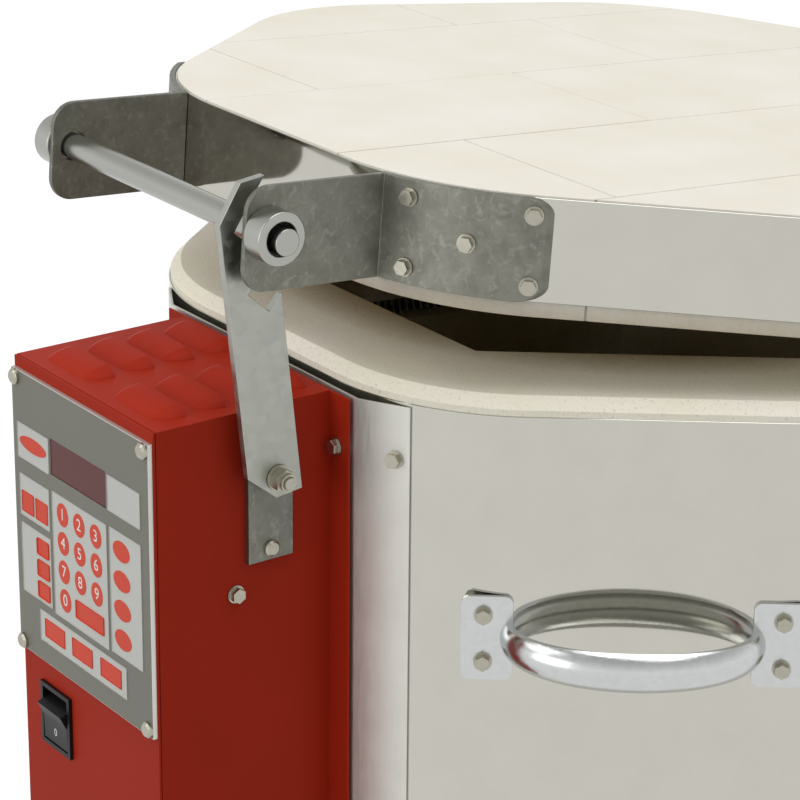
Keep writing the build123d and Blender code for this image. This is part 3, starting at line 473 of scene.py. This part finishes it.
# Lid bricks in running bond, sawn round to the band, with thin cement joints
lid = {
    "bottom": 0.3,
    "top": 57.8,
    "rowStart": -64.9,
    "rowWidth": 114.3,
    "seams": {-2: [7.1], -1: [-168.6, 60.0], 0: [-43.6, 185.0], 1: [-163.1, 65.5], 2: [-43.6]},
    "edge": 0.45,
    "joint": 0.5,
    "jointDepth": 0.35,
}


# X limits of the bricks in a row, None on the round outside
def rowLimits(row):
    rows = sorted(lid["seams"])
    left = lid["rowStart"] + row * lid["rowWidth"] + lid["joint"] / 2
    right = lid["rowStart"] + (row + 1) * lid["rowWidth"] - lid["joint"] / 2
    return left if row > rows[0] else None, right if row < rows[-1] else None


# The part of a piece between X limits and Y limits, None where it has none
def sliceOf(piece, left, right, front, back):
    part = copyPiece(piece)
    for x, normal in ((left, (-1, 0, 0)), (right, (1, 0, 0))):
        if x is not None:
            trim(part, at(x, 0, 0), normal)
    for y, normal in ((front, (0, -1, 0)), (back, (0, 1, 0))):
        if y is not None:
            trim(part, at(0, y, 0), normal)
    return part


def makeLidBricks(slab):
    half = lid["joint"] / 2
    bricks = []
    for row in sorted(lid["seams"]):
        left, right = rowLimits(row)
        fronts = [None] + [y + half for y in lid["seams"][row]]
        backs = [y - half for y in lid["seams"][row]] + [None]
        for front, back in zip(fronts, backs):
            brick = sliceOf(slab, left, right, front, back)
            roundEdges(brick, lid["edge"])
            bricks.append(brick)
    piece = joinPieces(bricks, "lidBricks")
    smooth(piece)
    seat(prop(piece), "lid", finishes["lidBrick"], "firebrick", "lid_bricks")


# Cement fills the joints to a little below the lid's faces
def makeLidJoints(slab):
    trim(slab, at(0, 0, lid["top"] - lid["jointDepth"]), (0, 0, 1))
    trim(slab, at(0, 0, lid["bottom"] + lid["jointDepth"]), (0, 0, -1))
    half = lid["joint"] / 2
    strips = []
    for row in sorted(lid["seams"]):
        left, right = rowLimits(row)
        if left is not None:
            strips.append(sliceOf(slab, left - 2 * half, left, None, None))
        for y in lid["seams"][row]:
            strips.append(sliceOf(slab, left, right, y - half, y + half))
    seat(prop(joinPieces(strips, "lidJoints")), "lid", finishes["mortar"], "firebrick")


def makeLid():
    slab = sevenSided("slab", brickApothem, lid["bottom"], lid["top"], "NGON")
    makeLidBricks(slab)
    makeLidJoints(slab)
    bpy.data.objects.remove(slab)


# Wall bricks: each cut from its softened course along the two mitres
walls = {"joint": 0.16, "edge": 0.8, "softAngle": 40}


def makeWalls():
    for level in ("top", "middle", "bottom"):
        node = f"course_{level}"
        course = dress(f"{level}Course", node, walls["edge"], walls["softAngle"])
        bricks = []
        for side in range(kiln["sides"]):
            brick = copyPiece(course)
            for turn in (-1, 1):
                mitre = Matrix.Rotation((2 * side + turn) * halfTurn, 3, "Z") @ Vector((0, -1, 0))
                away = Matrix.Rotation(turn * math.pi / 2, 3, "Z") @ mitre
                trim(brick, kilnAxis - away * walls["joint"] / 2 * mm, away)
            outward = Matrix.Rotation(2 * side * halfTurn, 3, "Z") @ Vector((0, -1, 0))
            trim(brick, kilnAxis, -outward)
            bricks.append(brick)
        bpy.data.objects.remove(course)
        piece = joinPieces(bricks, f"wallBricks{level.title()}")
        smooth(piece)
        seat(piece, "body", finishes["firedBrick"], "firebrick", node)
    floor = dress("floorSlab", "floor_slab", walls["edge"])
    seat(floor, "body", finishes["firedBrick"], "firebrick", "floor_slab")


makeLid()
makeWalls()
print("brickwork made")

# Heating elements: wound wire in each groove, straight leads through the front bricks
element = {"coil": 5.0, "wire": 0.85, "wireSides": 6, "pitch": 4.4, "steps": 10, "count": 6,
           "ring": chamberApothem + 9.0, "lead": 2.5, "leadSides": 12, "leadSpread": 36.0, "leadReach": 79.0}


def makeElements():
    turns = int(2 * element["ring"] * math.tan(halfTurn) / element["pitch"])
    run = turns * element["pitch"]
    bpy.ops.mesh.primitive_circle_add(vertices=element["wireSides"], radius=element["wire"] * mm,
                                      location=((element["coil"] - element["wire"]) * mm, 0, 0),
                                      rotation=(math.radians(90), 0, 0))
    coil = settle(bpy.context.active_object)
    applyModifier(coil, "SCREW", angle=2 * math.pi, screw_offset=element["pitch"] * mm,
                  iterations=turns, steps=element["steps"], render_steps=element["steps"])
    coil.data.transform(Matrix.Translation((0, 0, -run / 2 * mm)))
    coil.data.transform(Matrix.Rotation(math.radians(90), 4, "Y"))
    smooth(coil, 60)
    for number in range(1, element["count"] + 1):
        low, high = nodeBox(f"element_{number}")
        z = (low.z + high.z) / 2
        parts = []
        for side in range(kiln["sides"]):
            turn = Matrix.Rotation(2 * halfTurn * side, 4, "Z")
            place = turn @ Matrix.Translation((0, -element["ring"] * mm, 0))
            parts.append(copyPiece(coil, Matrix.Translation(at(0, 0, z)) @ place))
        for x in (-element["leadSpread"] / 2, element["leadSpread"] / 2):
            start, end = (x, -element["ring"], z), (x, -element["ring"] - element["leadReach"], z)
            parts.append(bar("lead", start, end, element["lead"], element["leadSides"]))
        piece = joinPieces(parts, f"elementCoil{number}")
        seat(piece, "body", finishes["wire"], "element_wire", f"element_{number}")
    bpy.data.objects.remove(coil)


makeElements()
print("elements wound")

# Control overlay: pale fields, red keys and plain digits on the grey film. Fields are two X and two Z
# limits, patch keys the same with a corner radius, disc keys a centre and two radii
overlay = {
    "edge": 0.25,
    "bareEdge": 0.35,
    "sunk": 0.05,
    "cornerSteps": 5,
    "discSides": 40,
    "filmRise": 0.06,
    "filmCorner": 0.02,
    "fieldRise": 0.12,
    "fieldCorner": 0.5,
    "fields": [(-59.0, -28.5, -43.0, -61.5), (26.4, 56.0, -42.5, -60.5), (-58.2, -29.3, -70.0, -92.0),
               (-58.0, -29.0, -96.0, -133.0), (-26.5, 25.0, -69.0, -134.0),
               (27.4, 56.0, -68.5, -133.0), (-42.0, 40.6, -137.5, -154.0)],
    "keyRise": 0.3,
    "keyRadii": (5.3, 5.3 * 1.14),
    "digitPlaces": [(x, z) for z in (-78.6, -93.6, -108.7) for x in (-16.7, -1.1, 14.5)],
    "zeroPlace": (-16.1, -123.7),
    "digitSize": 8.6,
    "digitDepth": 0.1,
    "otherKeys": [("patch", -5.9, 20.6, -118.8, -128.5, 0.8), ("disc", -44.0, -52.0, 13.0, 3.9)]
    + [("patch", x - 5.8, x + 5.8, -78.5, -89.5, 0.6) for x in (-50.5, -37.0)]
    + [("patch", -42.5, -31.0, z - 4.4, z + 4.4, 0.9) for z in (-103.5, -115.0, -126.5)]
    + [("disc", 38.1, z, 7.6, 5.2) for z in (-78.0, -93.3, -108.4, -123.7)]
    + [("patch", x - 9.6, x + 9.6, -140.8, -150.6, 0.6) for x in (-27.5, -1.0, 26.0)],
}


# Flat patch with rounded corners, rising from the overlay's face
def patch(name, rise, x0, x1, z0, z1, corner):
    face = nodeBox("control_overlay")[0].y
    piece = block(name, (x0, face - rise, z0), (x1, face + overlay["sunk"], z1))
    makeActive(piece)
    bpy.ops.object.mode_set(mode="EDIT")
    bpy.ops.mesh.select_mode(type="EDGE")
    bpy.ops.object.mode_set(mode="OBJECT")
    for line in piece.data.edges:
        a, b = (piece.data.vertices[k].co for k in line.vertices)
        line.select = abs(a.y - b.y) > weld["close"]
    bpy.ops.object.mode_set(mode="EDIT")
    bpy.ops.mesh.bevel(offset=corner * mm, segments=overlay["cornerSteps"], affect="EDGES")
    bpy.ops.object.mode_set(mode="OBJECT")
    turnFacesOut(piece)
    return piece


# Round or oval disc, rising from the overlay's face
def disc(name, rise, x, z, radiusX, radiusZ):
    face = nodeBox("control_overlay")[0].y
    piece = bar(name, (x, face + overlay["sunk"], z), (x, face - rise, z), radiusX, overlay["discSides"])
    centre = Matrix.Translation(at(x, face, z))
    piece.data.transform(centre @ Matrix.Diagonal((1, 1, radiusZ / radiusX, 1)) @ centre.inverted())
    return piece


def digit(text, x, z, size, face, thickness):
    bpy.ops.object.text_add(location=at(x, face, z), rotation=(math.radians(90), 0, 0))
    piece = bpy.context.active_object
    piece.data.body = text
    piece.data.size = size * mm
    piece.data.align_x = "CENTER"
    piece.data.align_y = "CENTER"
    piece.data.extrude = thickness * mm
    bpy.ops.object.convert(target="MESH")
    return settle(bpy.context.active_object)


def makeOverlay():
    plate = dress("overlayPlate", "control_overlay", overlay["edge"])
    seat(plate, "body", finishes["plateSteel"], "overlay_film", "control_overlay")
    low, high = nodeBox("control_overlay")
    face, bare = low.y, overlay["bareEdge"]
    left, right, bottom, top = low.x + bare, high.x - bare, low.z + bare, high.z - bare
    # the film leaves the display free
    low, high = nodeBox("display_window")
    strips = [(left, right, high.z, top), (left, right, bottom, low.z), (left, low.x, low.z, high.z),
              (high.x, right, low.z, high.z)]
    film = [patch("film", overlay["filmRise"], *strip, overlay["filmCorner"]) for strip in strips]
    seat(joinPieces(film, "overlayFilm"), "body", finishes["overlayGrey"], "overlay_film")
    fields = [patch("field", overlay["fieldRise"], *field, overlay["fieldCorner"])
              for field in overlay["fields"]]
    seat(joinPieces(fields, "overlayFields"), "body", finishes["overlayPale"], "overlay_film")
    keys = []
    digits = []
    rise = overlay["keyRise"]
    for text, (x, z) in zip("1234567890", overlay["digitPlaces"] + [overlay["zeroPlace"]]):
        keys.append(disc("key", rise, x, z, *overlay["keyRadii"]))
        digits.append(digit(text, x, z, overlay["digitSize"], face - rise, overlay["digitDepth"]))
    makers = {"patch": patch, "disc": disc}
    for kind, *sizes in overlay["otherKeys"]:
        keys.append(makers[kind]("key", rise, *sizes))
    seat(joinPieces(keys, "overlayKeys"), "body", finishes["keyRed"], "overlay_film")
    seat(joinPieces(digits, "overlayDigits"), "body", finishes["keyPrint"], "overlay_film")


makeOverlay()
print("overlay made")

# Power switch: the rocker's crest is lower than in the solid, its zero lies on the lower face
switch = {"edge": 0.5, "crestFrom": 6.0, "crestBack": 0.4, "crestDrop": 4.2,
          "markSize": 5.6, "markDepth": 0.08}


def makeSwitch():
    frameRing = dress("switchFrame", "switch_bezel", switch["edge"])
    seat(frameRing, "body", finishes["blackPlastic"], "black_plastic", "switch_bezel")
    rocker = dress("switchKey", "switch_rocker", 0)
    middle = sum((Vector(corner) for corner in rocker.bound_box), Vector()) / 8
    pick(rocker, lambda place: place.z > middle.z + switch["crestFrom"] * mm and place.y < middle.y)
    bpy.ops.transform.translate(value=(0, switch["crestBack"] * mm, -switch["crestDrop"] * mm))
    bpy.ops.object.mode_set(mode="OBJECT")
    roundEdges(rocker, switch["edge"], 3)
    smooth(rocker)
    face = max((part for part in rocker.data.polygons if part.normal.y < -0.5 and part.center.z < middle.z),
               key=lambda part: part.area)
    turn = (-face.normal).to_track_quat("Y", "Z").to_matrix().to_4x4()
    mark = digit("0", 0, 0, switch["markSize"], 0, switch["markDepth"])
    mark.data.transform(Matrix.Translation(face.center) @ turn @ Matrix.Translation(-kilnAxis))
    seat(rocker, "switch_rocker", finishes["blackPlastic"], "black_plastic", "switch_rocker")
    seat(mark, "switch_rocker", finishes["keyPrint"], "black_plastic")


makeSwitch()

# Box shell: its long louvres are pressed up as smooth bumps, cut open at the back
louvre = {"column": 31.5, "length": 47.0, "width": 14.5, "rise": 4.4, "shoulder": 9.0, "power": 1.7,
          "sheet": 1.0, "first": 23.6, "pitch": 22.2, "rows": 4, "flatten": 0.02, "above": 0.05, "edge": 0.5}


def makeLouvre():
    bpy.ops.mesh.primitive_uv_sphere_add(segments=32, ring_count=24, radius=1,
                                         rotation=(0, math.radians(90), 0))
    hood = settle(bpy.context.active_object)
    hood.scale = (louvre["shoulder"] * mm, louvre["width"] * mm, louvre["rise"] * mm)
    settle(hood)
    for side in (-1, 1):
        pick(hood, lambda place: place.x * side > weld["merge"])
        bpy.ops.transform.translate(value=(side * (louvre["length"] / 2 - louvre["shoulder"]) * mm, 0, 0))
        bpy.ops.object.mode_set(mode="OBJECT")
    trim(hood, (0, 0, 0), (0, 1, 0), False)
    trim(hood, (0, 0, 0), (0, 0, -1), False)
    for vertex in hood.data.vertices:
        share = max(vertex.co.z, 0) / (louvre["rise"] * mm)
        vertex.co.z = louvre["rise"] * mm * share ** louvre["power"]
    applyModifier(hood, "SOLIDIFY", thickness=louvre["sheet"] * mm, offset=-1)
    return hood


def makeBoxShell():
    low, high = nodeBox("front_panel")
    shell = dress("boxShell", "box_shell", 0)
    # the hoods of the solid are flattened into the sheet under the louvres
    pick(shell, lambda place: place.z > at(0, 0, high.z + louvre["above"]).z)
    bpy.ops.transform.resize(value=(1, 1, louvre["flatten"]), center_override=at(0, 0, high.z))
    bpy.ops.object.mode_set(mode="OBJECT")
    roundEdges(shell, louvre["edge"])
    hood = makeLouvre()
    hoods = []
    for row in range(louvre["rows"]):
        y = low.y + louvre["first"] + row * louvre["pitch"]
        for x in (-louvre["column"], louvre["column"]):
            hoods.append(copyPiece(hood, Matrix.Translation(at(x, y, high.z))))
    bpy.data.objects.remove(hood)
    piece = joinPieces([shell] + hoods, "boxShell")
    smooth(piece)
    seat(piece, "body", finishes["redCoat"], "red_enamel", "box_shell")


makeBoxShell()
print("box shell made")

# Lifting rod between the brackets and a sagging collar on each end, all slimmer than in the solid
rod = {"radius": 6.35, "sides": 48, "shorter": 4.8, "edge": 0.6, "collarRadius": 12.7, "bore": 7.9,
       "collarSides": 64, "collarLength": 12.7, "collarInset": 15.3, "collarEdge": 0.8,
       "sag": (0, -0.7, 0.7)}


def makeRod():
    low, high = nodeBox("handle_rod")
    y, z = (low.y + high.y) / 2, (low.z + high.z) / 2
    half = high.x - rod["shorter"]
    piece = bar("liftingRod", (-half, y, z), (half, y, z), rod["radius"], rod["sides"], rod["edge"])
    smooth(piece)
    seat(piece, "lid", finishes["turnedSteel"], "zinc_steel", "handle_rod")
    middle = nodeBox("rod_collars")[1].x - rod["collarInset"] + rod["collarLength"] / 2
    wall = (rod["collarRadius"] - rod["bore"]) * mm
    collars = []
    for side in (-1, 1):
        bpy.ops.mesh.primitive_cylinder_add(
            vertices=rod["collarSides"], radius=rod["collarRadius"] * mm,
            depth=rod["collarLength"] * mm, end_fill_type="NOTHING",
            location=at(side * middle, y, z), rotation=(0, math.radians(90), 0))
        collar = settle(bpy.context.active_object)
        applyModifier(collar, "SOLIDIFY", thickness=wall, offset=-1)
        roundEdges(collar, rod["collarEdge"], 3, 50)
        collar.data.transform(Matrix.Translation(Vector(rod["sag"]) * mm))
        collars.append(collar)
    piece = joinPieces(collars, "rodCollars")
    smooth(piece)
    seat(piece, "lid", finishes["turnedSteel"], "zinc_steel", "rod_collars")


makeRod()
print("lifting rod made")

# The rest of the hardware keeps its CAD shape with softened edges
hardware = [
    ("boxBack", "box_back", "body", "redCoat", "red_enamel", 0.3),
    ("boxFront", "front_panel", "body", "redCoat", "red_enamel", 0.4),
    ("mountingPlate", "mounting_plate", "body", "plateSteel", "plate_steel", 0.3),
    ("bracketRight", "front_bracket_right", "lid", "millSteel", "mill_steel", 0.5),
    ("bracketLeft", "front_bracket_left", "lid", "millSteel", "mill_steel", 0.5),
    ("bracketScrews", "bracket_screws", "lid", "screwZinc", "zinc_steel", 0.4),
    ("hingeArmRight", "hinge_arm_right", "lid", "millSteel", "mill_steel", 0.5),
    ("hingeArmLeft", "hinge_arm_left", "lid", "millSteel", "mill_steel", 0.5),
    ("hingeArmScrews", "hinge_arm_screws", "lid", "screwZinc", "zinc_steel", 0.4),
    ("hingeEarRight", "hinge_ear_right", "body", "millSteel", "mill_steel", 0.5),
    ("hingeEarLeft", "hinge_ear_left", "body", "millSteel", "mill_steel", 0.5),
    ("hingeEarScrews", "hinge_ear_screws", "body", "screwZinc", "zinc_steel", 0.4),
    ("hingePin", "hinge_pin", "body", "brightZinc", "zinc_steel", 0.8),
    ("pinCollars", "pin_collars", "body", "brightZinc", "zinc_steel", 0.6),
    ("propArm", "prop_arm", "prop_arm", "galvanised", "zinc_steel", 0.4),
    ("propStrap", "prop_strap", "body", "millSteel", "mill_steel", 0.4),
    ("pivotBolt", "pivot_bolt", "body", "screwZinc", "zinc_steel", 0.5),
    ("pivotNut", "pivot_hardware", "body", "screwZinc", "zinc_steel", 0.3),
    ("boxScrews", "box_screws", "body", "screwZinc", "zinc_steel", 0.4),
    ("wingScrews", "wing_screws", "body", "screwZinc", "zinc_steel", 0.4),
    ("handleRight", "body_handle_right", "body", "brightZinc", "zinc_steel", 0.5),
    ("handleLeft", "body_handle_left", "body", "brightZinc", "zinc_steel", 0.5),
    ("standRing", "stand_ring", "body", "blackPaint", "stand_steel", 0.5),
    ("standLegs", "stand_legs", "body", "blackPaint", "stand_steel", 0.5),
    ("standFeet", "stand_feet", "body", "blackPlastic", "black_plastic", 1.0),
    ("cordGland", "cord_gland", "body", "blackPlastic", "black_plastic", 0.5),
]
slimmer = {"pivotBolt": 0.8, "pivotNut": 0.8}  # thickness against the solid's
for name, node, body, finish, slot, edge in hardware:
    piece = dress(name, node, edge)
    if name in slimmer:
        low, high = Vector(piece.bound_box[0]), Vector(piece.bound_box[6])
        centre = Matrix.Translation((low + high) / 2)
        factor = slimmer[name]
        piece.data.transform(centre @ Matrix.Diagonal((1, factor, factor, 1)) @ centre.inverted())
    seat(piece, body, finishes[finish], slot, node)
print("hardware dressed")

# CAD nodes that keep their own mesh
plainNodes = {
    "display_window": "display", "floor_pan": "stainless", "box_spacers": "brightZinc",
    "strap_screws": "screwZinc", "overlay_screws": "screwZinc", "handle_screws": "screwZinc",
    "controller_board": "board", "board_spacers": "natural", "relays": "blackPlastic",
    "transformer": "core", "terminal_block": "natural", "element_connectors": "brass",
    "thermocouple": "sheath",
}
for node, finish in plainNodes.items():
    piece = frame["nodes"][node]
    piece.data.materials.clear()
    piece.data.materials.append(finishes[finish])

# White studio: the world lights softly, and cameras and metal see it white, metal less so high up
studio = {
    "fill": 0.62,
    "mirrored": {"From Min": 0.15, "From Max": 0.9, "To Min": 1.0, "To Max": 0.45},
    "floorSize": 9.0,
    "floorShown": 0.8,
    "floorBounce": 0.25,
    "glow": 1.14,
    "glowShare": 0.8,
    "lampAim": (0, 0, 0.5),
    "lamps": {
        "keyLamp": ((-1.0, -2.6, 2.9), 17.0, 1.8),
        "topLamp": ((0.4, 0.2, 3.2), 32.0, 2.2),
        "lowLamp": ((0.1, -2.8, 0.95), 12.0, 1.4),
    },
}


def makeStudio():
    world = bpy.data.worlds.new("studio")
    bpy.context.scene.world = world
    world.use_nodes = True
    tree = world.node_tree
    tree.nodes.clear()
    path = addNode(tree, "ShaderNodeLightPath")
    seen = addNode(tree, "ShaderNodeMath", {"operation": "MAXIMUM"},
                   {0: path.outputs["Is Camera Ray"], 1: path.outputs["Is Transmission Ray"]})
    direction = addNode(tree, "ShaderNodeTexCoord")
    height = addNode(tree, "ShaderNodeSeparateXYZ", links={"Vector": direction.outputs["Generated"]})
    ceiling = addNode(tree, "ShaderNodeMapRange", studio["mirrored"], {"Value": height.outputs["Z"]})
    fill = addNode(tree, "ShaderNodeBackground", {"Color": (1, 1, 1, 1), "Strength": studio["fill"]})
    white = addNode(tree, "ShaderNodeBackground", {"Color": (1, 1, 1, 1), "Strength": 1.0})
    mirrored = addNode(tree, "ShaderNodeBackground", {"Color": (1, 1, 1, 1)},
                       {"Strength": ceiling.outputs["Result"]})
    glossy = addNode(tree, "ShaderNodeMixShader", links={
        0: path.outputs["Is Glossy Ray"], 1: fill.outputs["Background"], 2: mirrored.outputs["Background"]})
    shown = addNode(tree, "ShaderNodeMixShader", links={
        0: seen.outputs["Value"], 1: glossy.outputs["Shader"], 2: white.outputs["Background"]})
    addNode(tree, "ShaderNodeOutputWorld", links={"Surface": shown.outputs["Shader"]})

    bpy.ops.mesh.primitive_plane_add(size=studio["floorSize"], location=(0, 0, 0))
    floor = bpy.context.active_object
    floor.name = "floor"
    material = bpy.data.materials.new("whiteFloor")
    material.use_nodes = True
    tree = material.node_tree
    shader = tree.nodes["Principled BSDF"]
    shader.inputs["Roughness"].default_value = 0.9
    path = addNode(tree, "ShaderNodeLightPath")
    # the floor looks white but throws little light up at the box
    dim, bright = studio["floorBounce"], studio["floorShown"]
    shade = addNode(tree, "ShaderNodeMix",
                    {"data_type": "RGBA", "A": (dim, dim, dim, 1), "B": (bright, bright, bright, 1)},
                    {"Factor": path.outputs["Is Camera Ray"]})
    tree.links.new(shade.outputs["Result"], shader.inputs["Base Color"])
    either = addNode(tree, "ShaderNodeMath", {"operation": "MAXIMUM"},
                     {0: path.outputs["Is Camera Ray"], 1: path.outputs["Is Glossy Ray"]})
    lit = addNode(tree, "ShaderNodeMath", {"operation": "MULTIPLY", 1: studio["glowShare"]},
                  {0: either.outputs["Value"]})
    glow = addNode(tree, "ShaderNodeEmission", {"Color": (1, 1, 1, 1), "Strength": studio["glow"]})
    mix = addNode(tree, "ShaderNodeMixShader", links={
        0: lit.outputs["Value"], 1: shader.outputs["BSDF"], 2: glow.outputs["Emission"]})
    tree.links.new(mix.outputs["Shader"], tree.nodes["Material Output"].inputs["Surface"])
    floor.data.materials.append(material)
    floor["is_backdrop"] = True

    for name, (place, power, size) in studio["lamps"].items():
        bpy.ops.object.light_add(type="AREA", location=place)
        lamp = bpy.context.active_object
        lamp.name = name
        lamp.data.energy = power
        lamp.data.size = size
        lamp.rotation_euler = (Vector(studio["lampAim"]) - lamp.location).to_track_quat("-Z", "Y").to_euler()


makeStudio()

# Camera at the photograph's viewpoint, measured from the top of the wall
view = {
    "place": (1134.64, -989.76, 484.60),
    "azimuth": 53.75,
    "elevation": 19.043,
    "roll": 0.517,
    "sensor": 36,
    "lens": 132.6,
    "shiftDown": -0.125,
}


def makeCamera():
    bpy.ops.object.camera_add(location=at(*view["place"]))
    camera = bpy.context.active_object
    level = Matrix.Rotation(math.radians(view["azimuth"]), 3, "Z") @ Matrix.Rotation(
        math.radians(90 - view["elevation"]), 3, "X")
    camera.rotation_euler = (level @ Matrix.Rotation(math.radians(view["roll"]), 3, "Z")).to_euler()
    camera.data.sensor_width = view["sensor"]
    camera.data.lens = view["lens"]
    camera.data.shift_y = view["shiftDown"]
    bpy.context.scene.camera = camera


makeCamera()
bpy.context.scene.view_settings.view_transform = "Standard"
print("studio and camera set")

low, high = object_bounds()
